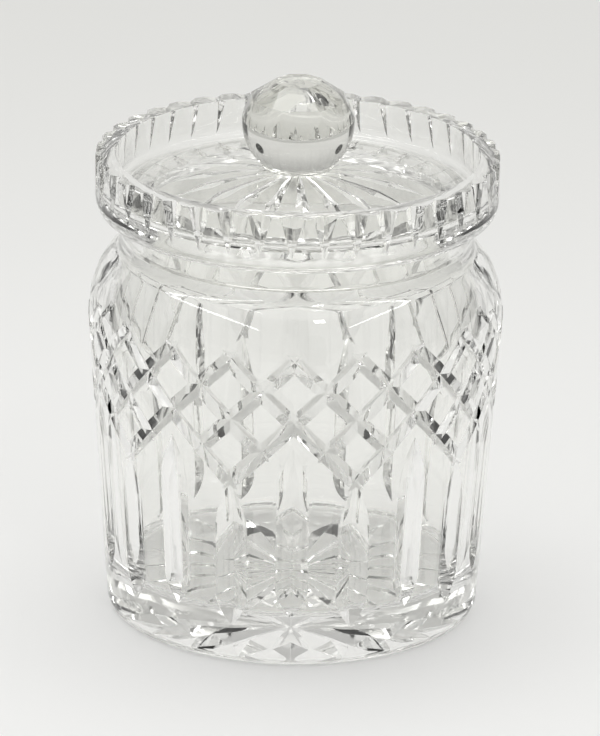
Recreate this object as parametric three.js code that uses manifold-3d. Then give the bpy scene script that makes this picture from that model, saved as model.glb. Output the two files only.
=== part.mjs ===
// A cut-glass lidded jar: a thick-walled glass jar, a dished lid that drops into its mouth, and a
// faceted ball knob fused to the lid. Millimetres, +Z up, the origin at the centre of the jar's foot.

import * as THREE from 'three';
import { mergeVertices } from 'three/addons/utils/BufferGeometryUtils.js';
import { ConvexGeometry } from 'three/addons/geometries/ConvexGeometry.js';
import Module from 'manifold-3d';

const wasm = await Module();
wasm.setup();

// ---- Driving dimensions ----

// The jar's outside
const JAR_HEIGHT = 130.5; // foot to the ground mouth that the lid rests on
const BODY_RADIUS = 65.5; // at the widest level, under the shoulder
const WALL_TAPER = 6.2; // how much narrower the wall is at the foot
const SHOULDER_STEP = 10.2; // how far the neck stands in from the widest level
const SHOULDER_HEIGHT = 27; // from the widest level to the straight neck
const NECK_HEIGHT = 7; // the straight neck above the shoulder
const NECK_FILLET = 2.8; // how far out from the neck the shoulder starts to turn up
const SHOULDER_FULLNESS = 0.52; // share of the shoulder's rise that its upright end reaches for
const FOOT_ROUND = 3.5;
const MOUTH_ROUND = 1;

// The jar's inside
const WALL = 6.5;
const FLOOR = 15;
const FLOOR_ROUND = 5;

// The lid
const RIM_OVERHANG = 8.2; // how far the lid's rim stands out past the neck
const RIM_HEIGHT = 19.5; // seat to the top of the rim
const RIM_WALL = 6.5;
const RIM_UNDER_ROUND = 6.5;
const DISH_DEPTH = 12.2; // rim top to the foot of the dished floor
const DISH_ROUND = 3.5;
const DOME_RISE = 8.2; // how far the floor's middle stands above its edge
const LID_FLOOR = 6.5;
const PLUG_DEPTH = 9;
const PLUG_WALL = 4.5;
const PLUG_CLEARANCE = 0.6; // radial, between the plug and the mouth

// The knob
const KNOB_RADIUS = 17.65;
const KNOB_SUNK = 3.45; // how much of the ball is missing where it joins the lid
const KNOB_FOOT_RADIUS = 11.4;
const KNOB_FOOT_HEIGHT = 2.2;
const KNOB_LAND_MARGIN = 0.6; // the lid's flat land is this much wider than the knob's foot
const KNOB_TABLE = 13.4; // ball centre to the flat on top
const KNOB_FACETS = 8;
const CROWN_TILT = 54; // upper ring of facets: degrees that they face up
const CROWN_REACH = 14.96; // and their distance from the ball's centre
const GIRDLE_TILT = 25; // lower ring of facets, the same two values
const GIRDLE_REACH = 16.5;

// The cut pattern on the jar
const COLUMNS = 20; // diamonds round the jar
const ROW_STEP = 10.2; // height from one row of crossings to the next
const BAND_RISE = 7; // top of the diamonds above the widest level
const MITRE_WIDTH = 4.6;
const MITRE_DEPTH = 1.45;
const MITRE_RUN_OUT = 2.5; // how far a diamond's groove runs on past its last crossing
const FLUTE_WIDTH = 10.4;
const FLUTE_DEPTH = 2.4;
const FLUTE_TOP_POINT = 15; // length of a flute's tapering point at its top
const FLUTE_FOOT_POINT = 9; // and at its foot
const LONG_FLUTE_DROP = 28.4; // top of the diamonds to the apex of the long flutes
const LONG_FLUTE_END = 17; // above the foot
const SHORT_FLUTE_END = 13; // above the foot

// The other cuts
const RIM_NOTCHES = 40;
const NOTCH_LENGTH = 13.3;
const NOTCH_DEPTH = 3.2;
const NOTCH_WIDTH = 9;
const LID_TURN = 3.3; // degrees that the lid is turned on the jar
const FOOT_STAR_RAYS = 20;
const FOOT_STAR_RADIUS = 50;
const FOOT_STAR_DEPTH = 2.6;
const FOOT_STAR_WIDTH = 9.5;
const LID_STAR_RAYS = 20;
const LID_STAR_RADIUS = 42.5;
const LID_STAR_DEPTH = 1.3;
const LID_STAR_WIDTH = 4.6;
const STAR_HUB = 0.5; // radius that the rays start from
const STAR_BELLY = 0.68; // where along a ray it is widest

// How finely round shapes are divided
const JAR_SEGMENTS = 40;
const KNOB_SEGMENTS = 48;
const CURVE_STEPS = 4;
const DOME_STEPS = 4;

// ---- Sizes that follow from them ----

const NECK_RADIUS = BODY_RADIUS - SHOULDER_STEP;
const FOOT_RADIUS = BODY_RADIUS - WALL_TAPER;
const BORE_RADIUS = NECK_RADIUS - WALL;
const WIDEST_Z = JAR_HEIGHT - NECK_HEIGHT - SHOULDER_HEIGHT;
const LID_RADIUS = NECK_RADIUS + RIM_OVERHANG;
const RIM_TOP = JAR_HEIGHT + RIM_HEIGHT;
const DISH_RADIUS = LID_RADIUS - RIM_WALL;
const DISH_EDGE_Z = RIM_TOP - DISH_DEPTH;
const LAND_Z = DISH_EDGE_Z + DOME_RISE;
const LAND_RADIUS = KNOB_FOOT_RADIUS + KNOB_LAND_MARGIN;
const PLUG_RADIUS = BORE_RADIUS - PLUG_CLEARANCE;
const PLUG_BORE = PLUG_RADIUS - PLUG_WALL;
const KNOB_CENTRE_Z = LAND_Z + KNOB_RADIUS - KNOB_SUNK;
const DISH_FLAT_RADIUS = DISH_RADIUS - DISH_ROUND;
const COLUMN_ANGLE = (2 * Math.PI) / COLUMNS;
const BAND_TOP = WIDEST_Z + BAND_RISE;

// ---- Solids ----

/** Turns a closed three.js geometry into a solid that can be cut and joined. */
function solidOf(geometry) {
  const bare = geometry.clone();
  bare.deleteAttribute('normal');
  bare.deleteAttribute('uv');
  const merged = mergeVertices(bare, 1e-4);
  const corners = merged.index.array;
  const kept = [];
  for (let i = 0; i < corners.length; i += 3) {
    const [a, b, c] = corners.slice(i, i + 3);
    if (a !== b && b !== c && c !== a) kept.push(a, b, c);
  }
  return new wasm.Manifold(new wasm.Mesh({
    numProp: 3,
    vertProperties: new Float32Array(merged.attributes.position.array),
    triVerts: new Uint32Array(kept),
  }));
}

/** Turns a solid back into a three.js geometry with flat faces. */
function geometryOf(solid) {
  const mesh = solid.getMesh();
  const geometry = new THREE.BufferGeometry();
  geometry.setAttribute('position', new THREE.BufferAttribute(new Float32Array(mesh.vertProperties), 3));
  geometry.setIndex(new THREE.BufferAttribute(new Uint32Array(mesh.triVerts), 1));
  geometry.computeVertexNormals();
  return geometry;
}

/** Takes every cutter away from a solid, joining the cutters first. */
function cutAll(solid, cutters) {
  let joined = cutters[0];
  for (const cutter of cutters.slice(1)) joined = joined.add(cutter);
  return solid.subtract(joined);
}

/** Spins a path's points, given as (radius, height), round the Z axis into a solid. */
function spun(path, segments) {
  const lathe = new THREE.LatheGeometry(path.getPoints(CURVE_STEPS), segments);
  lathe.rotateX(Math.PI / 2);
  return solidOf(lathe);
}

/** A glass mesh with its name and material. */
function glassPiece(name, solid, roughness) {
  const glass = new THREE.MeshStandardMaterial({ color: 0xeef1ee, roughness, metalness: 0 });
  const mesh = new THREE.Mesh(geometryOf(solid), glass);
  mesh.name = name;
  return mesh;
}

// ---- The jar's surface ----

/** Adds the shoulder and neck to a path that stands at the widest level, shifted inwards. */
function addShoulder(path, inset) {
  const neck = NECK_RADIUS - inset;
  const neckZ = JAR_HEIGHT - NECK_HEIGHT;
  const turnX = neck + NECK_FILLET;
  const turnZ = neckZ - NECK_FILLET * 2;
  const widest = BODY_RADIUS - inset;
  const reach = (widest - turnX) / 2;
  path.bezierCurveTo(
    widest, WIDEST_Z + (turnZ - WIDEST_Z) * SHOULDER_FULLNESS,
    turnX + reach, turnZ - reach,
    turnX, turnZ,
  );
  path.quadraticCurveTo(neck, turnZ + NECK_FILLET, neck, neckZ);
}

/** The outside of the jar from the foot's edge to the mouth, as points of radius and height. */
function outerWall() {
  const path = new THREE.Path();
  path.moveTo(FOOT_RADIUS, FOOT_ROUND);
  path.lineTo(BODY_RADIUS, WIDEST_Z);
  addShoulder(path, 0);
  return path.getPoints(CURVE_STEPS * 2);
}

const OUTER_WALL = outerWall();

/** A frame on the jar's outer wall at a height and an angle: its point, outward and upward directions. */
function wallFrame(z, angle) {
  let k = 1;
  while (k < OUTER_WALL.length - 1 && OUTER_WALL[k].y < z) k += 1;
  const low = OUTER_WALL[k - 1];
  const high = OUTER_WALL[k];
  const radius = low.x + ((high.x - low.x) * (z - low.y)) / (high.y - low.y);
  const lean = Math.atan2(low.x - high.x, high.y - low.y);
  const radial = new THREE.Vector3(Math.sin(angle), -Math.cos(angle), 0);
  const point = radial.clone().multiplyScalar(radius).setZ(z);
  const out = radial.clone().multiplyScalar(Math.cos(lean)).setZ(Math.sin(lean));
  const up = radial.clone().multiplyScalar(-Math.sin(lean)).setZ(Math.cos(lean));
  return { point, out, up };
}

// ---- Cutting wheels ----

/** The four corners of a V wheel's section, at a point of the groove's line. */
function wheelSection(point, out, along, width, depth) {
  const proud = depth;
  const side = new THREE.Vector3().crossVectors(along, out).normalize();
  const half = (width / 2) * ((depth + proud) / depth);
  const bottom = point.clone().addScaledVector(out, -depth);
  const top = point.clone().addScaledVector(out, proud);
  return [
    bottom,
    top.clone().addScaledVector(side, half),
    top.clone().addScaledVector(side, -half),
  ];
}

/** A straight V groove between two frames, open at both ends. */
function mitre(from, to, width, depth) {
  const along = to.point.clone().sub(from.point).normalize();
  return solidOf(new ConvexGeometry([
    ...wheelSection(from.point, from.out, along, width, depth),
    ...wheelSection(to.point, to.out, along, width, depth),
  ]));
}

/** A V groove that tapers from full depth at a frame to nothing at a tip. */
function runOut(from, tip, width, depth) {
  const along = tip.point.clone().sub(from.point).normalize();
  const lifted = tip.point.clone().addScaledVector(tip.out, depth)
    .add(tip.point.clone().sub(from.point));
  return solidOf(new ConvexGeometry([
    ...wheelSection(from.point, from.out, along, width, depth),
    lifted,
  ]));
}

/** The grooves of one straight flute down the wall, pointed at both ends. */
function flute(angle, topZ, bottomZ) {
  const upper = wallFrame(topZ - FLUTE_TOP_POINT, angle);
  const lower = wallFrame(bottomZ + FLUTE_FOOT_POINT, angle);
  return [
    runOut(upper, wallFrame(topZ, angle), FLUTE_WIDTH, FLUTE_DEPTH),
    mitre(upper, lower, FLUTE_WIDTH, FLUTE_DEPTH),
    runOut(lower, wallFrame(bottomZ, angle), FLUTE_WIDTH, FLUTE_DEPTH),
  ];
}

/** One diamond groove that goes down from a top point, half a column for each row, to either side. */
function diamondGroove(column, side, rows) {
  const stations = [];
  for (let row = 0; row <= rows; row += 1) {
    const angle = (column + (side * row) / 2) * COLUMN_ANGLE;
    stations.push(wallFrame(BAND_TOP - row * ROW_STEP, angle));
  }
  const pieces = [];
  for (let row = 1; row <= rows; row += 1) {
    pieces.push(mitre(stations[row - 1], stations[row], MITRE_WIDTH, MITRE_DEPTH));
  }
  const runAngle = (side * COLUMN_ANGLE * MITRE_RUN_OUT) / ROW_STEP / 2;
  const above = wallFrame(BAND_TOP + MITRE_RUN_OUT, column * COLUMN_ANGLE - runAngle);
  const lastAngle = (column + (side * rows) / 2) * COLUMN_ANGLE;
  const below = wallFrame(BAND_TOP - rows * ROW_STEP - MITRE_RUN_OUT, lastAngle + runAngle);
  pieces.push(runOut(stations[0], above, MITRE_WIDTH, MITRE_DEPTH));
  pieces.push(runOut(stations[rows], below, MITRE_WIDTH, MITRE_DEPTH));
  return pieces;
}

/** Rays cut up into an underside of the given height, pointed at the centre and at their tips. */
function starRays(count, heightAt, radius, width, depth) {
  const out = new THREE.Vector3(0, 0, -1);
  const rays = [];
  for (let ray = 0; ray < count; ray += 1) {
    const angle = (2 * Math.PI * ray) / count;
    const at = (r) => ({
      point: new THREE.Vector3(r * Math.sin(angle), -r * Math.cos(angle), heightAt(r)),
      out,
    });
    rays.push(runOut(at(radius * STAR_BELLY), at(STAR_HUB), width, depth));
    rays.push(runOut(at(radius * STAR_BELLY), at(radius), width, depth));
  }
  return rays;
}

// ---- The pieces ----

/** The jar: a tapered body with a round shoulder, a straight neck and a thick floor. */
function makeJar() {
  const profile = new THREE.Path();
  profile.moveTo(0, 0);
  profile.lineTo(FOOT_RADIUS - FOOT_ROUND, 0);
  profile.quadraticCurveTo(FOOT_RADIUS, 0, FOOT_RADIUS, FOOT_ROUND);
  profile.lineTo(BODY_RADIUS, WIDEST_Z);
  addShoulder(profile, 0);
  profile.lineTo(NECK_RADIUS, JAR_HEIGHT - MOUTH_ROUND);
  profile.lineTo(NECK_RADIUS - MOUTH_ROUND, JAR_HEIGHT);
  profile.lineTo(BORE_RADIUS, JAR_HEIGHT);
  for (const point of innerWall().reverse()) profile.lineTo(point.x, point.y);
  profile.lineTo(0, FLOOR);
  const cutters = starRays(FOOT_STAR_RAYS, () => 0, FOOT_STAR_RADIUS, FOOT_STAR_WIDTH, FOOT_STAR_DEPTH);
  for (let column = 0; column < COLUMNS; column += 1) {
    const isLong = column % 2 === 0;
    const rows = isLong ? 3 : 4;
    const angle = column * COLUMN_ANGLE;
    const top = isLong ? BAND_TOP - LONG_FLUTE_DROP : BAND_TOP - 4 * ROW_STEP;
    cutters.push(...diamondGroove(column, 1, rows));
    cutters.push(...diamondGroove(column, -1, rows));
    cutters.push(...flute(angle, top, isLong ? LONG_FLUTE_END : SHORT_FLUTE_END));
  }
  return glassPiece('jar', cutAll(spun(profile, JAR_SEGMENTS), cutters), 0.03);
}

/** The inside of the jar from the floor's edge to the mouth, one wall in from the outside. */
function innerWall() {
  const path = new THREE.Path();
  const radius = FOOT_RADIUS - WALL + (WALL_TAPER * FLOOR) / WIDEST_Z;
  path.moveTo(radius - FLOOR_ROUND, FLOOR);
  path.quadraticCurveTo(radius, FLOOR, radius, FLOOR + FLOOR_ROUND);
  path.lineTo(BODY_RADIUS - WALL, WIDEST_Z);
  addShoulder(path, WALL);
  return path.getPoints(CURVE_STEPS);
}

/** The height of the dished floor's top at a radius: a flat land, then a parabola down to the edge. */
function domeTop(radius) {
  const share = Math.max(0, radius - LAND_RADIUS) / (DISH_FLAT_RADIUS - LAND_RADIUS);
  return LAND_Z - DOME_RISE * share * share;
}

/** The lid: a rim with a notched edge round a domed floor, and a plug that drops into the mouth. */
function makeLid() {
  const plugEnd = JAR_HEIGHT - PLUG_DEPTH;
  const profile = new THREE.Path();
  profile.moveTo(0, LAND_Z - LID_FLOOR);
  for (let step = 0; step <= DOME_STEPS; step += 1) {
    const radius = LAND_RADIUS + ((PLUG_BORE - LAND_RADIUS) * step) / DOME_STEPS;
    profile.lineTo(radius, domeTop(radius) - LID_FLOOR);
  }
  profile.lineTo(PLUG_BORE, plugEnd);
  profile.lineTo(PLUG_RADIUS, plugEnd);
  profile.lineTo(PLUG_RADIUS, JAR_HEIGHT);
  profile.lineTo(LID_RADIUS - RIM_UNDER_ROUND, JAR_HEIGHT);
  profile.quadraticCurveTo(LID_RADIUS, JAR_HEIGHT, LID_RADIUS, JAR_HEIGHT + RIM_UNDER_ROUND);
  profile.lineTo(LID_RADIUS, RIM_TOP);
  profile.lineTo(DISH_RADIUS, RIM_TOP);
  profile.lineTo(DISH_RADIUS, DISH_EDGE_Z + DISH_ROUND);
  profile.quadraticCurveTo(DISH_RADIUS, DISH_EDGE_Z, DISH_FLAT_RADIUS, DISH_EDGE_Z);
  for (let step = DOME_STEPS - 1; step >= 0; step -= 1) {
    const radius = LAND_RADIUS + ((DISH_FLAT_RADIUS - LAND_RADIUS) * step) / DOME_STEPS;
    profile.lineTo(radius, domeTop(radius));
  }
  profile.lineTo(0, LAND_Z);
  const underside = (radius) => domeTop(radius) - LID_FLOOR;
  const cutters = starRays(LID_STAR_RAYS, underside, LID_STAR_RADIUS, LID_STAR_WIDTH, LID_STAR_DEPTH);
  for (let notch = 0; notch < RIM_NOTCHES; notch += 1) {
    cutters.push(rimNotch((2 * Math.PI * (notch + 0.5)) / RIM_NOTCHES));
  }
  return glassPiece('lid', cutAll(spun(profile, JAR_SEGMENTS), cutters), 0.03);
}

/** One wedge cut down the outside of the lid's rim, deepest at the top edge. */
function rimNotch(angle) {
  const out = new THREE.Vector3(Math.sin(angle), -Math.cos(angle), 0);
  const edge = out.clone().multiplyScalar(LID_RADIUS);
  const top = { point: edge.clone().setZ(RIM_TOP + NOTCH_DEPTH), out };
  const tip = { point: edge.clone().setZ(RIM_TOP - NOTCH_LENGTH), out };
  const grown = (NOTCH_LENGTH + NOTCH_DEPTH) / NOTCH_LENGTH;
  return runOut(top, tip, NOTCH_WIDTH * grown, NOTCH_DEPTH * grown);
}

/** The knob: a ball on a short foot, its upper half ground into flat facets. */
function makeKnob() {
  const footTop = LAND_Z + KNOB_FOOT_HEIGHT;
  const joinHeight = KNOB_CENTRE_Z - footTop;
  const joinAngle = Math.asin(joinHeight / KNOB_RADIUS);
  const profile = new THREE.Path();
  profile.moveTo(0, LAND_Z);
  profile.lineTo(KNOB_FOOT_RADIUS, LAND_Z);
  profile.lineTo(KNOB_RADIUS * Math.cos(joinAngle), footTop);
  profile.absarc(0, KNOB_CENTRE_Z, KNOB_RADIUS, -joinAngle, Math.PI / 2);
  const cutters = [facetBlock(0, 90, KNOB_TABLE)];
  for (let facet = 0; facet < KNOB_FACETS; facet += 1) {
    const angle = (360 * facet) / KNOB_FACETS;
    cutters.push(facetBlock(angle, CROWN_TILT, CROWN_REACH));
    cutters.push(facetBlock(angle, GIRDLE_TILT, GIRDLE_REACH));
  }
  return glassPiece('lid_knob', cutAll(spun(profile, KNOB_SEGMENTS), cutters), 0.02);
}

/** A block whose inner face is a facet's plane: its direction in degrees, and its distance. */
function facetBlock(angle, tilt, reach) {
  const size = KNOB_RADIUS * 2;
  const block = new THREE.BoxGeometry(size, size, size);
  block.translate(0, -reach - size / 2, 0);
  block.rotateX(THREE.MathUtils.degToRad(-tilt));
  block.rotateZ(THREE.MathUtils.degToRad(angle));
  block.translate(0, 0, KNOB_CENTRE_Z);
  return solidOf(block);
}

const jarWithLid = new THREE.Group();
const lidGroup = new THREE.Group();
lidGroup.rotation.z = THREE.MathUtils.degToRad(LID_TURN);
lidGroup.add(makeLid(), makeKnob());
jarWithLid.add(makeJar(), lidGroup);

export default jarWithLid;
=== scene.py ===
"""A wheel-cut glass jar with a dished lid and a faceted ball knob, finished round its frame.

Each glass piece starts as a turned blank, is cut, and is then polished: turned surfaces keep true
round normals, and cut facets stay flat. The sizes of the jar, the lid, the knob and their wheels
are in millimetres. Meshes, finishes and the studio are in metres.
"""

import logging
import math
from dataclasses import dataclass, field
from enum import Enum
from typing import Any, Callable, Iterable, Sequence

import bmesh
import bpy
from mathutils import Matrix, Vector


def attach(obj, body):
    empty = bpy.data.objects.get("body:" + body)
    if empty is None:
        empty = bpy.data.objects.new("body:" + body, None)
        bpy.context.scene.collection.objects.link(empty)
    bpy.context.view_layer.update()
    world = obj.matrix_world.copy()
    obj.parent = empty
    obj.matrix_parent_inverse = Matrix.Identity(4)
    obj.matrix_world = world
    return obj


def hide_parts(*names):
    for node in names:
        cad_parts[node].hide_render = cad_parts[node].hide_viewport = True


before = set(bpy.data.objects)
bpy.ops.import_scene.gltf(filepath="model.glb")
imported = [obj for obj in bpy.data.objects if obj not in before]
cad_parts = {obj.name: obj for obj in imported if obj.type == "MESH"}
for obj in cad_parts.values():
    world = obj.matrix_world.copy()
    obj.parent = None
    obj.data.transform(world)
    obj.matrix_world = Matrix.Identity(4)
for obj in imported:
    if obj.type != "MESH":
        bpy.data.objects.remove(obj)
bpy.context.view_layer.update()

LOG = logging.getLogger("cut_glass_jar")
MM = 0.001
GROUND_MARK = "ground"
FULL_TURN = 2 * math.pi
SHARP_ANGLE = math.radians(5.5)
LID_TURN = math.radians(3.3)
POLE_RADIUS = 1e-6  # below this radius an outline is at a pole, and its blank closes in one point
AXIS_ROOM = MM / 2  # nearer the axis than this, a way straight out of it means nothing
SAME_PLANE = 1e-7  # corners this near to a facet's plane lie in it
WHEEL_CORNERS = 3
RAY_MIDDLE = 0.5  # half way to its widest place, a ray is cut half as deep
ROUND_WHEEL = 1.5  # how roundly a wheel goes in
MIX_SHARE, MIX_FIRST, MIX_SECOND, MIX_COLOUR = 0, 6, 7, 2

Draw = Callable[[bmesh.types.BMesh], None]
Corners = list[bmesh.types.BMVert]
Pair = tuple[float, float]
Triple = tuple[float, float, float]


class Slope(Enum):
    """The way that a diamond groove leans as it goes down the jar."""

    RIGHT = 1
    LEFT = -1


class Body(Enum):
    """The moving bodies of the frame."""

    JAR = "jar"
    LID = "lid"


# ---------------------------------------------------------------- shader desk


class Wire:
    """A shader socket that can be used in sums."""

    def __init__(self, desk: "ShaderDesk", socket: bpy.types.NodeSocket) -> None:
        """Keeps the socket and the desk that it belongs to."""
        self.desk = desk
        self.socket = socket

    def _math(self, operation: str, *values: Any) -> "Wire":
        """Adds a Math node on this desk."""
        return self.desk.node("ShaderNodeMath", {"operation": operation}, dict(enumerate(values)))

    def __add__(self, other: Any) -> "Wire":
        """Sum."""
        return self._math("ADD", self, other)

    __radd__ = __add__

    def __sub__(self, other: Any) -> "Wire":
        """Difference."""
        return self._math("SUBTRACT", self, other)

    def __rsub__(self, other: Any) -> "Wire":
        """Difference the other way round."""
        return self._math("SUBTRACT", other, self)

    def __mul__(self, other: Any) -> "Wire":
        """Product."""
        return self._math("MULTIPLY", self, other)

    __rmul__ = __mul__

    def __truediv__(self, other: Any) -> "Wire":
        """Quotient."""
        return self._math("DIVIDE", self, other)

    def __rtruediv__(self, other: Any) -> "Wire":
        """Quotient the other way round."""
        return self._math("DIVIDE", other, self)

    def size(self) -> "Wire":
        """The value without its sign."""
        return self._math("ABSOLUTE", self)

    def step(self, low: float, high: float) -> "Wire":
        """A smooth rise from 0 to 1.

        Args:
            low: The value up to which it is 0.
            high: The value from which it is 1.

        Returns:
            The wire of the rise.
        """
        return self.desk.node(
            "ShaderNodeMapRange",
            {"interpolation_type": "SMOOTHSTEP"},
            {"Value": self, "From Min": low, "From Max": high, "To Min": 0.0, "To Max": 1.0},
        )


class ShaderDesk:
    """A node tree with one way to add any node to it."""

    def __init__(self, tree: bpy.types.NodeTree) -> None:
        """Clears the tree and keeps it."""
        tree.nodes.clear()
        self.tree = tree

    def node(
        self,
        kind: str,
        settings: dict[str, Any] | None = None,
        sockets: dict[Any, Any] | None = None,
        out: Any = 0,
    ) -> Wire:
        """Adds a node.

        Args:
            kind: The node's type.
            settings: Its own properties, set before its sockets.
            sockets: Values or wires of its inputs, by name or number.
            out: The output that is given back.

        Returns:
            The wire of the chosen output, or of the first input where the node has no output.
        """
        made = self.tree.nodes.new(kind)
        for name, value in (settings or {}).items():
            setattr(made, name, value)
        for name, value in (sockets or {}).items():
            if isinstance(value, Wire):
                self.tree.links.new(value.socket, made.inputs[name])
            else:
                made.inputs[name].default_value = value
        return Wire(self, made.outputs[out]) if made.outputs else Wire(self, made.inputs[0])

    def blend(self, share: Wire, first: Wire | Triple, second: Triple) -> Wire:
        """Mixes two colours.

        Args:
            share: How much of the second one shows.
            first: The colour at a share of 0, or its wire.
            second: The colour at a share of 1.

        Returns:
            The wire of the mixed colour.
        """
        start = first if isinstance(first, Wire) else (*first, 1.0)
        values = {MIX_SHARE: share, MIX_FIRST: start, MIX_SECOND: (*second, 1.0)}
        return self.node("ShaderNodeMix", {"data_type": "RGBA"}, values, MIX_COLOUR)

    def noise(self, place: Wire, scale: float, detail: float) -> Wire:
        """A cloud of values round 0.5 at a place."""
        values = {"Vector": place, "Scale": scale, "Detail": detail}
        return self.node("ShaderNodeTexNoise", None, values, "Fac")


# ------------------------------------------------------------------- finishes


@dataclass(frozen=True)
class Crystal:
    """Clear lead glass, nearly colourless, with faint cords in it and wheel marks on its facets."""

    name: str
    clear: Triple = (0.985, 0.986, 0.974)
    deep: Triple = (0.97, 0.971, 0.957)
    index: float = 1.55
    cord_scale: float = 38.0
    cord_detail: float = 3.0
    smear: float = 0.004
    smear_scale: float = 76.0
    smear_detail: float = 4.0
    smear_from: float = 0.5
    smear_full: float = 0.8
    mark_scale: float = 900.0
    mark_detail: float = 2.0
    mark_height: float = 0.000004
    wave_scale: float = 70.0
    wave_detail: float = 1.0
    wave_height: float = 0.00003
    edge_radius: float = 0.00018
    edge_samples: int = 4

    def material(self) -> bpy.types.Material:
        """Builds the glass.

        Returns:
            The material, its colour, smear and surface read from the piece's own coordinates.
        """
        material = bpy.data.materials.new(self.name)
        material.use_nodes = True
        desk = ShaderDesk(material.node_tree)
        place = desk.node("ShaderNodeTexCoord", None, None, "Object")
        ground = desk.node("ShaderNodeAttribute", {"attribute_name": GROUND_MARK}, None, "Fac")
        cords = desk.noise(place, self.cord_scale, self.cord_detail)
        tint = desk.blend(cords, self.clear, self.deep)
        smears = desk.noise(place, self.smear_scale, self.smear_detail)
        fingers = smears.step(self.smear_from, self.smear_full)
        marks = desk.noise(place, self.mark_scale, self.mark_detail) * self.mark_height * ground
        waves = desk.noise(place, self.wave_scale, self.wave_detail)
        waves = waves * self.wave_height * (1 - ground)
        relief = {"Strength": 1.0, "Distance": 1.0, "Height": marks + waves}
        bump = desk.node("ShaderNodeBump", None, relief)
        edges = {"Radius": self.edge_radius, "Normal": bump}
        eased = desk.node("ShaderNodeBevel", {"samples": self.edge_samples}, edges)
        shader = desk.node(
            "ShaderNodeBsdfPrincipled",
            None,
            {
                "Base Color": tint,
                "Roughness": fingers * self.smear,
                "IOR": self.index,
                "Transmission Weight": 1.0,
                "Normal": eased,
            },
        )
        desk.node("ShaderNodeOutputMaterial", None, {"Surface": shader})
        return material


@dataclass(frozen=True)
class Card:
    """Matt pale card with a faint tooth and a painted glow of its own, as if lit a little from
    below, and a touch greyer at the back.
    """

    name: str = "pale_card"
    near: Triple = (0.50, 0.50, 0.495)
    far: Triple = (0.43, 0.43, 0.42)
    # strength of the card's painted glow: light that no lamp gives, which lifts the shade under the
    # jar
    painted_glow: float = 0.66
    turn_near: float = -0.1
    turn_far: float = 0.7
    tooth_scale: float = 400.0
    tooth_detail: float = 2.0
    tooth_height: float = 0.00002
    tooth_strength: float = 0.3
    roughness: float = 0.85
    rougher: float = 0.1
    shine: float = 0.2

    def material(self) -> bpy.types.Material:
        """Builds the card.

        Returns:
            The material.
        """
        material = bpy.data.materials.new(self.name)
        material.use_nodes = True
        desk = ShaderDesk(material.node_tree)
        place = desk.node("ShaderNodeTexCoord", None, None, "Object")
        depth = desk.node("ShaderNodeSeparateXYZ", None, {0: place}, "Y")
        colour = desk.blend(depth.step(self.turn_near, self.turn_far), self.near, self.far)
        tooth = desk.noise(place, self.tooth_scale, self.tooth_detail)
        relief = {"Strength": self.tooth_strength, "Distance": self.tooth_height, "Height": tooth}
        bump = desk.node("ShaderNodeBump", None, relief)
        shader = desk.node(
            "ShaderNodeBsdfPrincipled",
            None,
            {
                "Base Color": colour,
                "Emission Color": colour,
                # painted glow: the card gives off light of its own, which fills in the shade under
                # and round the jar
                "Emission Strength": self.painted_glow,
                "Roughness": self.roughness + tooth * self.rougher,
                "Specular IOR Level": self.shine,
                "Normal": bump,
            },
        )
        desk.node("ShaderNodeOutputMaterial", None, {"Surface": shader})
        return material


# ----------------------------------------------------------------- turned work


@dataclass
class Outline:
    """Half the section of a turned piece, as points of radius and height, from pole to pole."""

    points: list[Pair] = field(default_factory=list)

    def to(self, radius: float, height: float) -> "Outline":
        """Adds a straight run to a point."""
        self.points.append((radius, height))
        return self

    def curve(self, control: Pair, end: Pair, steps: int) -> "Outline":
        """Adds a round corner.

        Args:
            control: The corner that it rounds.
            end: Where it ends.
            steps: How many runs it is made of.

        Returns:
            This outline.
        """
        start = self.points[-1]
        for step in range(1, steps + 1):
            t = step / steps
            parts = ((1 - t) ** 2, 2 * t * (1 - t), t * t)
            self.points.append(_mix(parts, (start, control, end)))
        return self

    def bend(self, first: Pair, second: Pair, end: Pair, steps: int) -> "Outline":
        """Adds a longer curve with two controls.

        Args:
            first: The first control.
            second: The second control.
            end: Where it ends.
            steps: How many runs it is made of.

        Returns:
            This outline.
        """
        start = self.points[-1]
        for step in range(1, steps + 1):
            t = step / steps
            u = 1 - t
            parts = (u**3, 3 * u * u * t, 3 * u * t * t, t**3)
            self.points.append(_mix(parts, (start, first, second, end)))
        return self

    def spin(self, name: str, segments: int) -> bpy.types.Object:
        """Turns the outline round the upright axis into a closed blank.

        Args:
            name: The blank's name.
            segments: How many flats go round it.

        Returns:
            The blank, with its faces outward.
        """
        body = bmesh.new()
        rings: list[Corners] = []
        for radius, height in self.points:
            if radius < POLE_RADIUS:
                rings.append([body.verts.new((0, 0, height * MM))])
                continue
            spots = (_radial(FULL_TURN * k / segments) * radius * MM for k in range(segments))
            rings.append([body.verts.new((spot.x, spot.y, height * MM)) for spot in spots])
        for low, high in zip(rings, rings[1:]):
            _bridge(body, low, high, segments)
        bmesh.ops.recalc_face_normals(body, faces=body.faces)
        return _object_of(body, name)


def _mix(parts: Iterable[float], points: Iterable[Pair]) -> Pair:
    """The weighted sum of some points."""
    pairs = list(zip(parts, points))
    return sum(p * q[0] for p, q in pairs), sum(p * q[1] for p, q in pairs)


def _radial(angle: float) -> Vector:
    """The way straight out at an angle, which is 0 at the front and grows to the right."""
    return Vector((math.sin(angle), -math.cos(angle), 0.0))


def _bridge(body: bmesh.types.BMesh, near: Corners, far: Corners, sides: int) -> None:
    """Joins two rings of corners with faces.

    Args:
        body: The mesh body that both rings are in.
        near: One ring, or the one corner of a point.
        far: The next ring, or the one corner of a point.
        sides: How many faces go round.
    """
    for k in range(sides):
        after = (k + 1) % sides
        corners = [near[k % len(near)], near[after % len(near)]]
        corners += [far[after % len(far)], far[k % len(far)]]
        face = list(dict.fromkeys(corners))
        if len(face) > 2:
            body.faces.new(face)


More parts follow.
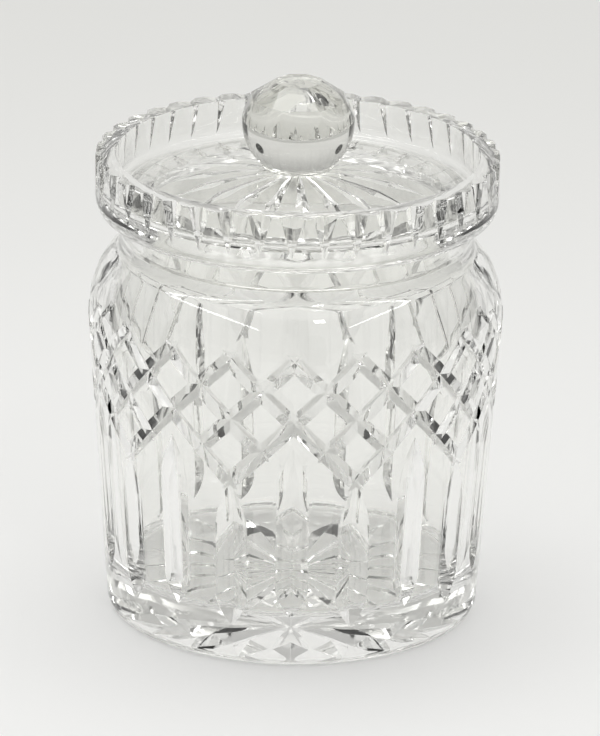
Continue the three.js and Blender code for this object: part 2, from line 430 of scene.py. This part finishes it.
def _object_of(body: bmesh.types.BMesh, name: str) -> bpy.types.Object:
    """Makes a linked object of a mesh body and frees the body.

    Args:
        body: The mesh body.
        name: The object's name.

    Returns:
        The object, at the origin.
    """
    mesh = bpy.data.meshes.new(name)
    body.to_mesh(mesh)
    body.free()
    made = bpy.data.objects.new(name, mesh)
    bpy.context.scene.collection.objects.link(made)
    return made


# ------------------------------------------------------------------ wheel work


@dataclass(frozen=True)
class Station:
    """A place on a groove's line: its point in metres, the way out and its share of the depth."""

    point: Vector
    out: Vector
    share: float = 1.0


@dataclass(frozen=True)
class Wheel:
    """A V wheel: how wide and deep it cuts, and how far its section stands proud of the surface."""

    width: float
    depth: float
    proud: float = 0.8

    def groove(self, body: bmesh.types.BMesh, line: Sequence[Station]) -> None:
        """Adds the solid that one groove takes away.

        Args:
            body: The mesh body to add to.
            line: The groove's stations in order. An end with a share of 0 runs out to a point.
        """
        rings = [self._section(body, line, k) for k in range(len(line))]
        for near, far in zip(rings, rings[1:]):
            _bridge(body, near, far, WHEEL_CORNERS)
        for end in (rings[0], rings[-1]):
            if len(end) == WHEEL_CORNERS:
                body.faces.new(end)

    def _section(self, body: bmesh.types.BMesh, line: Sequence[Station], k: int) -> Corners:
        """Adds the wheel's section at a station.

        Args:
            body: The mesh body to add to.
            line: The groove's stations.
            k: Which of them.

        Returns:
            Three corners, or the one point of an end that runs out.
        """
        here = line[k]
        after = line[min(k + 1, len(line) - 1)]
        before = line[max(k - 1, 0)]
        proud = self.proud * MM
        if here.share == 0:
            nearest = after if k == 0 else before
            run = (here.point - nearest.point) * (self.proud / (nearest.share * self.depth))
            return [body.verts.new(here.point + run + here.out * proud)]
        along = (after.point - before.point).normalized()
        side = along.cross(here.out).normalized()
        depth = self.depth * MM * here.share
        half = self.width / self.depth / 2 * (depth + proud)
        return [
            body.verts.new(here.point - here.out * depth),
            body.verts.new(here.point + here.out * proud + side * half),
            body.verts.new(here.point + here.out * proud - side * half),
        ]


class RingTree:
    """A node tree that repeats a cut solid round the upright axis."""

    def __init__(self) -> None:
        """Builds the tree with its named inputs."""
        self.tree = bpy.data.node_groups.new("ring_of_cuts", "GeometryNodeTree")
        face = self.tree.interface
        face.new_socket("Cut", in_out="INPUT", socket_type="NodeSocketGeometry")
        self.sockets = {
            name: face.new_socket(name, in_out="INPUT", socket_type=kind).identifier
            for name, kind in (
                ("Copies", "NodeSocketInt"),
                ("Turn", "NodeSocketFloat"),
                ("Finish", "NodeSocketMaterial"),
            )
        }
        face.new_socket("Ring", in_out="OUTPUT", socket_type="NodeSocketGeometry")
        desk = ShaderDesk(self.tree)
        given = self.tree.nodes.new("NodeGroupInput")
        cut, copies, turn, finish = (Wire(desk, given.outputs[k]) for k in range(4))
        index = desk.node("GeometryNodeInputIndex")
        angle = index / copies * FULL_TURN + turn
        points = desk.node("GeometryNodePoints", None, {"Count": copies})
        spin = desk.node("ShaderNodeCombineXYZ", None, {"Z": angle})
        sector = {"Points": points, "Instance": cut, "Rotation": spin}
        placed = desk.node("GeometryNodeInstanceOnPoints", None, sector)
        solid = desk.node("GeometryNodeRealizeInstances", None, {"Geometry": placed})
        marked = {"Geometry": solid, "Material": finish}
        dressed = desk.node("GeometryNodeSetMaterial", None, marked)
        desk.node("NodeGroupOutput", None, {0: dressed})

    def repeat(
        self, cut: bpy.types.Object, copies: int, turn: float, finish: bpy.types.Material
    ) -> bpy.types.Object:
        """Repeats a cut solid and makes the ring a plain mesh.

        Args:
            cut: The solid of one sector.
            copies: How many go round.
            turn: The angle of the first one.
            finish: The marker that its faces carry.

        Returns:
            The same object with the whole ring as its mesh.
        """
        modifier = cut.modifiers.new("ring", "NODES")
        modifier.node_group = self.tree
        modifier[self.sockets["Copies"]] = copies
        modifier[self.sockets["Turn"]] = turn
        modifier[self.sockets["Finish"]] = finish
        _apply(cut)
        return cut


def _apply(piece: bpy.types.Object) -> None:
    """Turns a piece and its modifiers into a plain mesh.

    Args:
        piece: The piece.
    """
    bpy.context.view_layer.update()
    graph = bpy.context.evaluated_depsgraph_get()
    mesh = bpy.data.meshes.new_from_object(piece.evaluated_get(graph), depsgraph=graph)
    piece.modifiers.clear()
    piece.data = mesh


@dataclass
class Cutting:
    """The wheel work on one blank, cut by cut."""

    blank: bpy.types.Object
    rings: RingTree
    skin: bpy.types.Material
    ground: bpy.types.Material

    def __post_init__(self) -> None:
        """Marks the blank's own faces."""
        self.blank.data.materials.append(self.skin)

    def take(self, draw: Draw, copies: int, turn: float = 0.0) -> None:
        """Takes one ring of cuts away from the blank.

        Args:
            draw: Adds the solids of one sector to a mesh body.
            copies: How many sectors go round.
            turn: The angle of the first one.
        """
        body = bmesh.new()
        draw(body)
        bmesh.ops.recalc_face_normals(body, faces=body.faces)
        cutter = self.rings.repeat(_object_of(body, "cutter"), copies, turn, self.ground)
        modifier = self.blank.modifiers.new("cut", "BOOLEAN")
        modifier.operation = "DIFFERENCE"
        modifier.solver = "MANIFOLD"
        modifier.material_mode = "TRANSFER"
        modifier.object = cutter
        _apply(self.blank)
        bpy.data.objects.remove(cutter)

    def polish(self) -> bpy.types.Object:
        """Marks the ground faces, sets the shading and gives turned faces true round normals.

        Returns:
            The finished piece.
        """
        mesh = self.blank.data
        names = [material.name if material else "" for material in mesh.materials]
        is_ground = [names[face.material_index] == self.ground.name for face in mesh.polygons]
        mark = mesh.attributes.new(GROUND_MARK, "FLOAT", "FACE")
        mark.data.foreach_set("value", [float(value) for value in is_ground])
        mesh.polygons.foreach_set("material_index", [0] * len(mesh.polygons))
        mesh.polygons.foreach_set("use_smooth", [True] * len(mesh.polygons))
        mesh.materials.clear()
        mesh.set_sharp_from_angle(angle=SHARP_ANGLE)
        normals = [Vector(corner.vector) for corner in mesh.corner_normals]
        for face, ground in zip(mesh.polygons, is_ground):
            for corner in face.loop_indices:
                if not ground:
                    place = mesh.vertices[mesh.loops[corner].vertex_index].co
                    normals[corner] = _rounded(normals[corner], place)
        mesh.normals_split_custom_set(normals)
        mesh.update()
        return self.blank


def _rounded(normal: Vector, place: Vector) -> Vector:
    """Turns a normal of a turned surface to point straight away from the axis, or straight at it.

    Args:
        normal: The normal.
        place: Where it stands.

    Returns:
        The turned normal, or the same one on the axis, where no way is straight out.
    """
    flat = Vector((place.x, place.y, 0.0))
    if flat.length < AXIS_ROOM:
        return normal
    radial = flat.normalized()
    reach = math.sqrt(max(0.0, 1 - normal.z**2))
    return radial * math.copysign(reach, normal.dot(radial)) + Vector((0, 0, normal.z))


@dataclass(frozen=True)
class Star:
    """A star of rays cut into an underside: its wheel, reach and hub, and where a ray is widest."""

    wheel: Wheel
    radius: float
    hub: float = 0.5
    belly: float = 0.68

    def ray(self, level: Callable[[float], float]) -> Draw:
        """One ray of the star.

        Args:
            level: The underside's height at a radius.

        Returns:
            A function that adds the ray's solid to a mesh body.
        """
        down = Vector((0, 0, -1))
        widest = self.radius * self.belly
        middle = (widest * RAY_MIDDLE, RAY_MIDDLE)
        spans = ((self.hub, 0.0), middle, (widest, 1.0), (self.radius, 0.0))

        def draw(body: bmesh.types.BMesh) -> None:
            """Adds the ray."""
            points = ((_radial(0) * r + Vector((0, 0, level(r)))) * MM for r, _ in spans)
            line = [Station(point, down, share) for point, (_, share) in zip(points, spans)]
            self.wheel.groove(body, line)

        return draw


# ---------------------------------------------------------------- the jar


@dataclass
class JarBody:
    """The jar: a tapered cut body, a round shoulder, a straight neck and a thick star-cut foot."""

    height: float = 130.5
    radius: float = 65.5
    taper: float = 6.2
    shoulder_step: float = 10.2
    shoulder_height: float = 27.0
    shoulder_fullness: float = 0.52
    neck_height: float = 7.0
    neck_fillet: float = 2.8
    foot_round: float = 3.5
    mouth_round: float = 1.0
    wall: float = 6.5
    floor: float = 15.0
    floor_round: float = 5.0
    columns: int = 20
    row_step: float = 10.2
    band_rows: tuple[int, int] = (3, 4)
    band_rise: float = 7.0
    mitre: Wheel = Wheel(5.2, 1.6)
    mitre_run_out: float = 2.5
    flute: Wheel = Wheel(10.8, 3.1)
    flute_points: Pair = (15.0, 9.0)
    flute_stages: Pair = (0.35, 0.7)
    long_flute: Pair = (28.4, 17.0)
    short_flute_rows: int = 4
    short_flute_end: float = 13.0
    star: Star = Star(Wheel(9.5, 2.6, 0.2), 50.0)
    segments: int = 240
    curve_steps: int = 22
    mouth_steps: int = 8
    row_stations: int = 5
    wall_points: list[Pair] = field(default_factory=list, init=False)

    @property
    def neck(self) -> float:
        """The neck's radius."""
        return self.radius - self.shoulder_step

    @property
    def foot(self) -> float:
        """The foot's radius."""
        return self.radius - self.taper

    @property
    def widest(self) -> float:
        """The height of the widest level."""
        return self.height - self.neck_height - self.shoulder_height

    @property
    def band_top(self) -> float:
        """The height of the top row of crossings."""
        return self.widest + self.band_rise

    @property
    def column(self) -> float:
        """The angle between two columns."""
        return FULL_TURN / self.columns

    def _shoulder(self, path: Outline, inset: float) -> None:
        """Adds the shoulder and the neck.

        Args:
            path: The outline, which stands at the widest level.
            inset: How far inside the outer wall it runs.
        """
        neck = self.neck - inset
        neck_foot = self.height - self.neck_height
        turn = (neck + self.neck_fillet, neck_foot - 2 * self.neck_fillet)
        widest = self.radius - inset
        reach = (widest - turn[0]) / 2
        upright = self.widest + (turn[1] - self.widest) * self.shoulder_fullness
        path.bend((widest, upright), (turn[0] + reach, turn[1] - reach), turn, self.curve_steps)
        path.curve((neck, turn[1] + self.neck_fillet), (neck, neck_foot), self.curve_steps // 2)

    def _outer(self) -> Outline:
        """The outside wall from the foot's edge to the neck."""
        path = Outline().to(self.foot, self.foot_round).to(self.radius, self.widest)
        self._shoulder(path, 0.0)
        return path

    def _inner(self) -> Outline:
        """The inside wall from the floor's edge to the neck."""
        radius = self.foot - self.wall + self.taper * self.floor / self.widest
        path = Outline().to(radius - self.floor_round, self.floor)
        path.curve((radius, self.floor), (radius, self.floor + self.floor_round), self.curve_steps)
        path.to(self.radius - self.wall, self.widest)
        self._shoulder(path, self.wall)
        return path

    def _on_wall(self, height: float, angle: float, share: float = 1.0) -> Station:
        """A station on the outside wall.

        Args:
            height: How high it is.
            angle: Where it is round the axis.
            share: Its share of the groove's full depth.

        Returns:
            The station, with the wall's own way out.
        """
        points = self.wall_points
        k = 1
        while k < len(points) - 1 and points[k][1] < height:
            k += 1
        low, high = points[k - 1], points[k]
        radius = low[0] + (high[0] - low[0]) * (height - low[1]) / (high[1] - low[1])
        lean = math.atan2(low[0] - high[0], high[1] - low[1])
        out = _radial(angle) * math.cos(lean) + Vector((0, 0, math.sin(lean)))
        point = _radial(angle) * radius + Vector((0, 0, height))
        return Station(point * MM, out, share)

    def _diamond(self, body: bmesh.types.BMesh, column: int, slope: Slope) -> None:
        """Adds one diamond groove, half a column to the side for each row down.

        Args:
            body: The mesh body to add to.
            column: The column that it starts from, 0 or 1.
            slope: The way that it leans.
        """
        rows = self.band_rows[column]
        run = self.mitre_run_out / self.row_step
        steps = (k / self.row_stations for k in range(rows * self.row_stations + 1))
        shares = [-run, *steps, rows + run]
        line = []
        for place, row in enumerate(shares):
            angle = (column + slope.value * row / 2) * self.column
            share = 0.0 if place in (0, len(shares) - 1) else 1.0
            line.append(self._on_wall(self.band_top - row * self.row_step, angle, share))
        self.mitre.groove(body, line)

    def _diamonds(self, slope: Slope) -> Draw:
        """The grooves of two columns that lean one way.

        Args:
            slope: The way that they lean.

        Returns:
            A function that adds their solids to a mesh body.
        """

        def draw(body: bmesh.types.BMesh) -> None:
            """Adds both grooves."""
            self._diamond(body, 0, slope)
            self._diamond(body, 1, slope)

        return draw

    def _flutes(self, body: bmesh.types.BMesh) -> None:
        """Adds a long and a short upright flute.

        Args:
            body: The mesh body to add to.
        """
        drops = (self.long_flute[0], self.short_flute_rows * self.row_step)
        ends = (self.long_flute[1], self.short_flute_end)
        entry, leave = self.flute_points
        for column, (drop, end) in enumerate(zip(drops, ends)):
            top = self.band_top - drop
            spans = [(top, 0.0)]
            spans += [(top - entry * t, _ease(t)) for t in self.flute_stages]
            spans += [(top - entry, 1.0), (end + leave, 1.0)]
            spans += [(end + leave * t, _ease(t)) for t in reversed(self.flute_stages)]
            spans += [(end, 0.0)]
            self.flute.groove(body, [self._on_wall(z, column * self.column, s) for z, s in spans])

    def build(
        self, rings: RingTree, skin: bpy.types.Material, ground: bpy.types.Material
    ) -> bpy.types.Object:
        """Turns and cuts the jar.

        Args:
            rings: The tree that repeats cuts.
            skin: The marker of turned faces.
            ground: The marker of cut faces.

        Returns:
            The jar's mesh object.
        """
        self.wall_points = self._outer().points
        path = Outline().to(0, 0).to(self.foot - self.foot_round, 0)
        path.curve((self.foot, 0), (self.foot, self.foot_round), self.curve_steps)
        path.points += self.wall_points[1:]
        path.to(self.neck, self.height - self.mouth_round)
        lip = (self.neck - self.mouth_round, self.height)
        path.curve((self.neck, self.height), lip, self.mouth_steps)
        path.to(self.neck - self.wall, self.height)
        path.points += reversed(self._inner().points)
        path.to(0, self.floor)
        cutting = Cutting(path.spin("jar_glass", self.segments), rings, skin, ground)
        pairs = self.columns // 2
        cutting.take(self._flutes, pairs)
        cutting.take(self._diamonds(Slope.RIGHT), pairs)
        cutting.take(self._diamonds(Slope.LEFT), pairs)
        cutting.take(self.star.ray(lambda radius: 0.0), self.columns)
        return cutting.polish()

    def dress(self, piece: bpy.types.Object) -> None:
        """Gives the jar its glass and puts it on its body."""
        _dress(piece, Crystal("jar_crystal"), Body.JAR, "jar")


def _ease(t: float) -> float:
    """The share of the full depth that a round wheel has reached at a share of its way in."""
    return 1 - (1 - t) ** ROUND_WHEEL


def _dress(piece: bpy.types.Object, finish: Crystal, body: Body, node: str) -> None:
    """Gives a piece its finish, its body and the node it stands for.

    Args:
        piece: The piece.
        finish: Its glass.
        body: The body that it moves with.
        node: The frame's node that it stands for.
    """
    piece.data.materials.append(finish.material())
    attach(piece, body.value)
    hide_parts(node)


# ---------------------------------------------------------------- the lid


@dataclass
class DishedLid:
    """The lid: a notched rim, a domed floor with a star under it, and a plug for the mouth."""

    seat: float = 130.5
    seat_gap: float = 0.08
    radius: float = 63.5
    rim_height: float = 19.5
    rim_wall: float = 6.5
    under_round: float = 6.5
    edge_round: float = 0.5
    dish_depth: float = 12.2
    dish_round: float = 3.5
    dome_rise: float = 8.2
    land: float = 12.0
    floor: float = 6.5
    plug_radius: float = 48.2
    plug_depth: float = 9.0
    plug_wall: float = 4.5
    notches: int = 40
    notch: Wheel = Wheel(7.8, 2.7, 1.0)
    notch_length: float = 13.3
    turn: float = LID_TURN
    rays: int = 20
    star: Star = Star(Wheel(4.6, 1.3, 0.3), 42.5)
    segments: int = 240
    curve_steps: int = 22
    edge_steps: int = 6
    dome_steps: int = 16
    clear: Triple = (0.97, 0.971, 0.955)
    deep: Triple = (0.95, 0.951, 0.935)

    @property
    def top(self) -> float:
        """The height of the rim's top."""
        return self.seat + self.rim_height

    @property
    def dish(self) -> float:
        """The dish's radius."""
        return self.radius - self.rim_wall

    def _dome(self, radius: float) -> float:
        """The height of the floor's top.

        Args:
            radius: Where it is read.

        Returns:
            The height.
        """
        edge = self.top - self.dish_depth
        share = max(0.0, radius - self.land) / (self.dish - self.dish_round - self.land)
        return edge + self.dome_rise * (1 - share * share)

    def _under(self, radius: float) -> float:
        """The height of the floor's underside at a radius."""
        return self._dome(radius) - self.floor

    def _outline(self) -> Outline:
        """The lid's half section from the middle of its underside to the middle of its top."""
        bore = self.plug_radius - self.plug_wall
        seat = self.seat + self.seat_gap
        path = Outline().to(0, self._under(0))
        for step in range(self.dome_steps + 1):
            radius = self.land + (bore - self.land) * step / self.dome_steps
            path.to(radius, self._under(radius))
        path.to(bore, self.seat - self.plug_depth).to(self.plug_radius, self.seat - self.plug_depth)
        path.to(self.plug_radius, seat).to(self.radius - self.under_round, seat)
        path.curve((self.radius, seat), (self.radius, seat + self.under_round), self.curve_steps)
        path.to(self.radius, self.top - self.edge_round)
        outer = (self.radius - self.edge_round, self.top)
        path.curve((self.radius, self.top), outer, self.edge_steps)
        path.to(self.dish + self.edge_round, self.top)
        path.curve((self.dish, self.top), (self.dish, self.top - self.edge_round), self.edge_steps)
        edge = self.top - self.dish_depth
        path.to(self.dish, edge + self.dish_round)
        path.curve((self.dish, edge), (self.dish - self.dish_round, edge), self.curve_steps)
        for step in range(self.dome_steps - 1, -1, -1):
            radius = self.land + (self.dish - self.dish_round - self.land) * step / self.dome_steps
            path.to(radius, self._dome(radius))
        return path.to(0, self._dome(0))

    def _notch(self, body: bmesh.types.BMesh) -> None:
        """Adds one wedge down the outside of the rim, deepest at the top edge.

        Args:
            body: The mesh body to add to.
        """
        out = _radial(0)
        above = self.notch.depth
        start = (self.top + above, 1 + above / self.notch_length)
        spans = (start, (self.top - self.notch_length, 0.0))
        points = ((out * self.radius + Vector((0, 0, z))) * MM for z, _ in spans)
        line = [Station(point, out, share) for point, (_, share) in zip(points, spans)]
        self.notch.groove(body, line)

    def build(
        self, rings: RingTree, skin: bpy.types.Material, ground: bpy.types.Material
    ) -> bpy.types.Object:
        """Turns and cuts the lid.

        Args:
            rings: The tree that repeats cuts.
            skin: The marker of turned faces.
            ground: The marker of cut faces.

        Returns:
            The lid's mesh object.
        """
        cutting = Cutting(self._outline().spin("lid_glass", self.segments), rings, skin, ground)
        cutting.take(self._notch, self.notches, self.turn + FULL_TURN / self.notches / 2)
        cutting.take(self.star.ray(self._under), self.rays, self.turn)
        return cutting.polish()

    def dress(self, piece: bpy.types.Object) -> None:
        """Gives the lid its glass and puts it on its body."""
        glass = Crystal("lid_crystal", self.clear, self.deep)
        _dress(piece, glass, Body.LID, "lid")


# ---------------------------------------------------------------- the knob


@dataclass
class BallKnob:
    """The knob: a ball on a short foot, its top ground to a table and two rings of facets."""

    radius: float = 17.65
    land: float = 146.0
    foot_radius: float = 11.4
    foot_height: float = 2.2
    foot_edge: float = 0.4
    foot_sunk: float = 0.05
    fillet: Pair = (0.3, 0.6)
    centre: float = 160.2
    table: float = 13.4
    facets: int = 8
    crown: Pair = (54.0, 14.96)
    girdle: Pair = (25.0, 16.5)
    turn: float = LID_TURN
    segments: int = 192
    fillet_steps: int = 8
    ball_steps: int = 96
    clear: Triple = (0.86, 0.86, 0.83)
    deep: Triple = (0.82, 0.82, 0.79)

    def _planes(self) -> list[tuple[Vector, float]]:
        """The planes of the facets.

        Returns:
            Each one's outward direction and its distance from the ball's centre.
        """
        planes = [(Vector((0, 0, 1)), self.table)]
        for tilt, reach in (self.crown, self.girdle):
            rise = math.radians(tilt)
            for facet in range(self.facets):
                out = _radial(self.turn + FULL_TURN * facet / self.facets)
                planes.append((out * math.cos(rise) + Vector((0, 0, math.sin(rise))), reach))
        return planes

    def build(
        self, rings: RingTree, skin: bpy.types.Material, ground: bpy.types.Material
    ) -> bpy.types.Object:
        """Turns the ball and grinds its facets.

        Args:
            rings: The tree that repeats cuts. The knob has none, and only hands it on.
            skin: The marker of turned faces.
            ground: The marker of cut faces.

        Returns:
            The knob's mesh object.
        """
        foot_top = self.land + self.foot_height
        join = math.asin((self.centre - foot_top) / self.radius)
        under = self.land - self.foot_sunk
        path = Outline().to(0, under).to(self.foot_radius, under)
        path.to(self.foot_radius, self.land + self.foot_edge)
        neck = (self.radius * math.cos(join), foot_top)
        corner = (self.foot_radius - self.fillet[0], foot_top - self.fillet[1])
        path.curve(corner, neck, self.fillet_steps)
        for step in range(1, self.ball_steps):
            angle = -join + (math.pi / 2 + join) * step / self.ball_steps
            path.to(self.radius * math.cos(angle), self.centre + self.radius * math.sin(angle))
        path.to(0, self.centre + self.radius)
        piece = path.spin("knob_glass", self.segments)
        body = bmesh.new()
        body.from_mesh(piece.data)
        for normal, reach in self._planes():
            self._grind(body, normal, reach)
        body.to_mesh(piece.data)
        body.free()
        cutting = Cutting(piece, rings, skin, ground)
        piece.data.materials.append(ground)
        return cutting.polish()

    def _grind(self, body: bmesh.types.BMesh, normal: Vector, reach: float) -> None:
        """Grinds one facet: takes away what is past its plane and closes the cut.

        Args:
            body: The knob's mesh body.
            normal: The facet's outward direction.
            reach: Its distance from the ball's centre.
        """
        spot = Vector((0, 0, self.centre * MM)) + normal * reach * MM
        parts = [*body.verts, *body.edges, *body.faces]
        bmesh.ops.bisect_plane(
            body, geom=parts, dist=SAME_PLANE, plane_co=spot, plane_no=normal, clear_outer=True
        )
        open_edges = [edge for edge in body.edges if edge.is_boundary]
        for face in bmesh.ops.edgenet_fill(body, edges=open_edges, mat_nr=1)["faces"]:
            face.normal_update()
            if face.normal.dot(normal) < 0:
                face.normal_flip()

    def dress(self, piece: bpy.types.Object) -> None:
        """Gives the knob its glass and puts it on the lid's body."""
        glass = Crystal("knob_crystal", self.clear, self.deep)
        _dress(piece, glass, Body.LID, "lid_knob")


# ---------------------------------------------------------------- the studio


@dataclass(frozen=True)
class Softbox:
    """A soft light: its name, place, size, strength and what it faces."""

    name: str
    place: Triple
    size: Pair
    power: float
    target: Triple = (0.0, 0.0, 0.08)

    def hang(self) -> None:
        """Puts the light in the scene, out of the camera's own sight."""
        lamp = bpy.data.lights.new(self.name, "AREA")
        lamp.shape = "RECTANGLE"
        lamp.size, lamp.size_y = self.size
        lamp.energy = self.power
        made = bpy.data.objects.new(self.name, lamp)
        made.location = self.place
        way = Vector(self.target) - Vector(self.place)
        made.rotation_euler = way.to_track_quat("-Z", "Y").to_euler()
        made.visible_camera = False
        bpy.context.scene.collection.objects.link(made)


@dataclass(frozen=True)
class BlackFlag:
    """A black card seen only in the glass: its name, its foot's middle, its width and height."""

    name: str
    place: Triple
    width: float
    height: float

    def stand(self, card: bpy.types.Material) -> None:
        """Stands the card upright, facing the jar.

        Args:
            card: Its material.
        """
        foot = Vector(self.place)
        out = Vector((foot.x, foot.y, 0.0)).normalized()
        along = Vector((-out.y, out.x, 0.0)) * self.width / 2
        rise = Vector((0, 0, self.height))
        body = bmesh.new()
        corners = (foot - along, foot + along, foot + along + rise, foot - along + rise)
        body.faces.new([body.verts.new(corner) for corner in corners])
        made = _object_of(body, self.name)
        made.data.materials.append(card)
        made.visible_camera = False
        made.visible_diffuse = False
        made.visible_shadow = False


@dataclass(frozen=True)
class DarkSpot:
    """A dark round gap in the room's light.

    Attributes:
        way: The way to its middle.
        reach: The angle from its middle to its edge, in degrees.
        core: The share of that angle inside which it is at its darkest.
        share: How much of the light it takes.
    """

    way: Triple
    reach: float
    core: float = 0.8
    share: float = 0.95


@dataclass
class Studio:
    """A pale floor in a bright room with a few dark gaps, soft lights and the camera.

    Attributes:
        seen_grey: The room behind the jar, as it is seen directly.
        low_level: The room's light at the horizon.
        high_level: Its light further up.
        over_level: Its light overhead.
        side_share: The share of it that is left at both sides.
        front_share: The share of it that is left in front of the jar.
        climb: The rises between which the light goes from low to high.
        overhead: The rises between which it turns to the light overhead.
        aside: How far across the sides' dimmer light begins, and is whole.
        before: How far back the front's dimmer light stops being whole, and ends.
    """

    floor_size: float = 9.0
    floor_cells: int = 12
    floor_drop: float = 0.0003
    eye: Triple = (0.00165, -1.9046, 0.7863)
    tilt: float = math.radians(69.6)
    roll: float = math.radians(0.85)
    lens: float = 313.2
    sensor: float = 36.0
    sight: float = 50.0
    seen_grey: float = 0.6
    low_level: float = 0.80
    high_level: float = 0.5
    over_level: float = 1.25
    side_share: float = 0.3
    front_share: float = 0.5
    climb: Pair = (0.05, 0.6)
    overhead: Pair = (0.78, 0.86)
    aside: Pair = (0.8, 0.93)
    before: Pair = (-0.75, -0.35)
    warmth: Triple = (1.0, 0.997, 0.975)
    bounces: int = 28
    dull_bounces: int = 3
    glossy_blur: float = 0.3
    bright_limit: float = 6.0
    black: Card = Card("black_card", (0.012, 0.012, 0.012), (0.02, 0.02, 0.02), 0.0)
    gaps: tuple[DarkSpot, ...] = (
        DarkSpot((0.05, -0.92, 0.38), 11.0),
        DarkSpot((-0.80, -0.45, 0.38), 8.0),
        DarkSpot((0.84, -0.30, 0.42), 8.0),
        DarkSpot((0.60, 0.76, 0.20), 6.0),
        DarkSpot((-0.65, 0.70, 0.22), 6.0),
        DarkSpot((-0.50, -0.62, 0.60), 7.0),
        DarkSpot((0.48, -0.60, 0.64), 7.0),
        DarkSpot((-0.72, 0.25, 0.64), 7.0),
        DarkSpot((0.70, 0.30, 0.64), 7.0),
        DarkSpot((0.08, 0.70, 0.71), 6.0),
    )
    flags: tuple[BlackFlag, ...] = (
        BlackFlag("left_flag", (-0.42, 0.05, 0.01), 0.42, 0.19),
        BlackFlag("right_flag", (0.42, 0.08, 0.01), 0.36, 0.19),
        BlackFlag("front_flag", (0.10, -0.60, 0.0), 0.16, 0.26),
    )
    softboxes: tuple[Softbox, ...] = (
        Softbox("left_strip", (-0.95, -0.35, 1.15), (2.2, 0.05), 3.2),
        Softbox("right_strip", (1.0, -0.2, 1.2), (2.0, 0.04), 2.4),
        Softbox("front_lamp", (0.35, -1.1, 1.5), (0.16, 0.16), 1.2),
        Softbox("top_box", (-0.1, 0.3, 1.7), (1.2, 0.8), 9.0),
    )

    def lay_floor(self) -> None:
        """Lays the floor."""
        body = bmesh.new()
        cells, half = self.floor_cells, self.floor_size / 2
        bmesh.ops.create_grid(body, x_segments=cells, y_segments=cells, size=half)
        floor = _object_of(body, "floor")
        floor.data.transform(Matrix.Translation((0, 0, -self.floor_drop)))
        floor.data.materials.append(Card().material())

    def light(self) -> None:
        """Lights the room, leaves dark gaps for the cut glass, and puts up lights and flags."""
        world = bpy.data.worlds.new("room")
        world.use_nodes = True
        bpy.context.scene.world = world
        desk = ShaderDesk(world.node_tree)
        way = desk.node("ShaderNodeTexCoord", None, None, "Generated")
        split = desk.node("ShaderNodeSeparateXYZ", None, {0: way}, "X").socket.node
        across, back, rise = (Wire(desk, split.outputs[k]) for k in range(3))
        level = self.low_level - rise.step(*self.climb) * (self.low_level - self.high_level)
        aside = across.size().step(*self.aside)
        front = 1 - back.step(*self.before)
        over = rise.step(*self.overhead)
        level = level * (1 - aside * (1 - self.side_share)) * (1 - front * (1 - self.front_share))
        level = level + over * (self.over_level - level)
        for gap in self.gaps:
            ways = {0: way, 1: Vector(gap.way).normalized()}
            facing = desk.node("ShaderNodeVectorMath", {"operation": "DOT_PRODUCT"}, ways, "Value")
            edge, core = (math.cos(math.radians(gap.reach * part)) for part in (1.0, gap.core))
            level = level * (1 - facing.step(edge, core) * gap.share)
        parts = {k: level * part for k, part in enumerate(self.warmth)}
        room = desk.node("ShaderNodeCombineColor", None, parts)
        seen = desk.node("ShaderNodeLightPath", None, None, "Is Camera Ray")
        colour = desk.blend(seen, room, (self.seen_grey,) * 3)
        shade = desk.node("ShaderNodeBackground", None, {"Color": colour, "Strength": 1.0})
        desk.node("ShaderNodeOutputWorld", None, {"Surface": shade})
        for box in self.softboxes:
            box.hang()
        black = self.black.material()
        for flag in self.flags:
            flag.stand(black)

    def set_camera(self) -> None:
        """Sets the camera."""
        lens = bpy.data.cameras.new("camera")
        lens.lens = self.lens
        lens.sensor_width = self.sensor
        lens.clip_end = self.sight
        camera = bpy.data.objects.new("camera", lens)
        turn = Matrix.Rotation(self.tilt, 4, "X") @ Matrix.Rotation(self.roll, 4, "Z")
        camera.matrix_world = Matrix.Translation(self.eye) @ turn
        bpy.context.scene.collection.objects.link(camera)
        bpy.context.scene.camera = camera

    def set_paths(self) -> None:
        """Lets light pass through many glass walls, and shows colours as they are."""
        scene = bpy.context.scene
        scene.view_settings.view_transform = "Standard"
        paths = scene.cycles
        paths.max_bounces = self.bounces
        paths.transmission_bounces = self.bounces
        paths.glossy_bounces = self.bounces // 2
        paths.diffuse_bounces = self.dull_bounces
        paths.blur_glossy = self.glossy_blur
        paths.sample_clamp_indirect = self.bright_limit


def main() -> None:
    """Builds the studio and the pieces in order, and reports each piece."""
    logging.basicConfig(level=logging.INFO, format="%(name)s: %(message)s")
    studio = Studio()
    studio.set_camera()
    studio.lay_floor()
    studio.light()
    studio.set_paths()
    rings = RingTree()
    skin = bpy.data.materials.new("turned_mark")
    ground = bpy.data.materials.new("ground_mark")
    for maker in (JarBody(), DishedLid(), BallKnob()):
        piece = maker.build(rings, skin, ground)
        maker.dress(piece)
        mesh = piece.data
        mesh.calc_loop_triangles()
        body = bmesh.new()
        body.from_mesh(mesh)
        loose = sum(1 for edge in body.edges if not edge.is_manifold)
        body.free()
        LOG.info("%s: %d triangles, %d open edges", piece.name, len(mesh.loop_triangles), loose)
    for marker in (skin, ground):
        bpy.data.materials.remove(marker)


if __name__ == "__main__":
    main()
